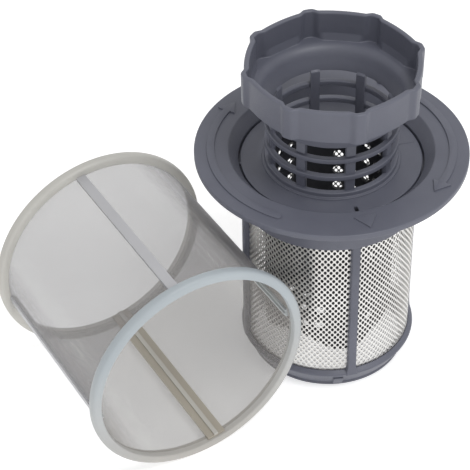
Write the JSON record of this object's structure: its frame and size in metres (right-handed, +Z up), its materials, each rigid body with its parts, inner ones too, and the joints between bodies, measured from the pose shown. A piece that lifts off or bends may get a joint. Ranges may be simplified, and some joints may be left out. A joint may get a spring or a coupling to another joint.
{
  "type": "dishwasher filter",
  "caption": "Cylindrical dishwasher filter: flanged body with perforated steel screen, lift-out coarse basket with a knobbed grip ring, and a separate fine-mesh sleeve lying beside it.",
  "frame": {"origin": "centre of the outlet bore at the foot of the standing grey filter, on the floor", "axes": "+Z up along the filter's axis; the four body ribs stand on +X, -X, +Y and -Y, and the flange's triangle is on -Y"},
  "size_m": [0.1753, 0.1122, 0.1312],
  "materials": {
    "grey_plastic": "satin moulded grey plastic",
    "screen_steel": "bright perforated sheet",
    "basket_plastic": "satin moulded grey plastic",
    "pale_plastic": "satin moulded pale plastic",
    "fine_mesh": "woven nylon mesh, see-through"
  },
  "bodies": {
    "filter_body": {"body_frame": "grey_plastic", "strainer_screen": "screen_steel", "sleeve_frame": "pale_plastic", "sleeve_mesh": "fine_mesh"},
    "basket": {"coarse_basket": "basket_plastic"}
  },
  "joints": [
    {"name": "basket_lift", "type": "slide", "parent": "filter_body", "child": "basket", "axis": [0, 0, 1], "range_m": [0, 0.085]}
  ]
}
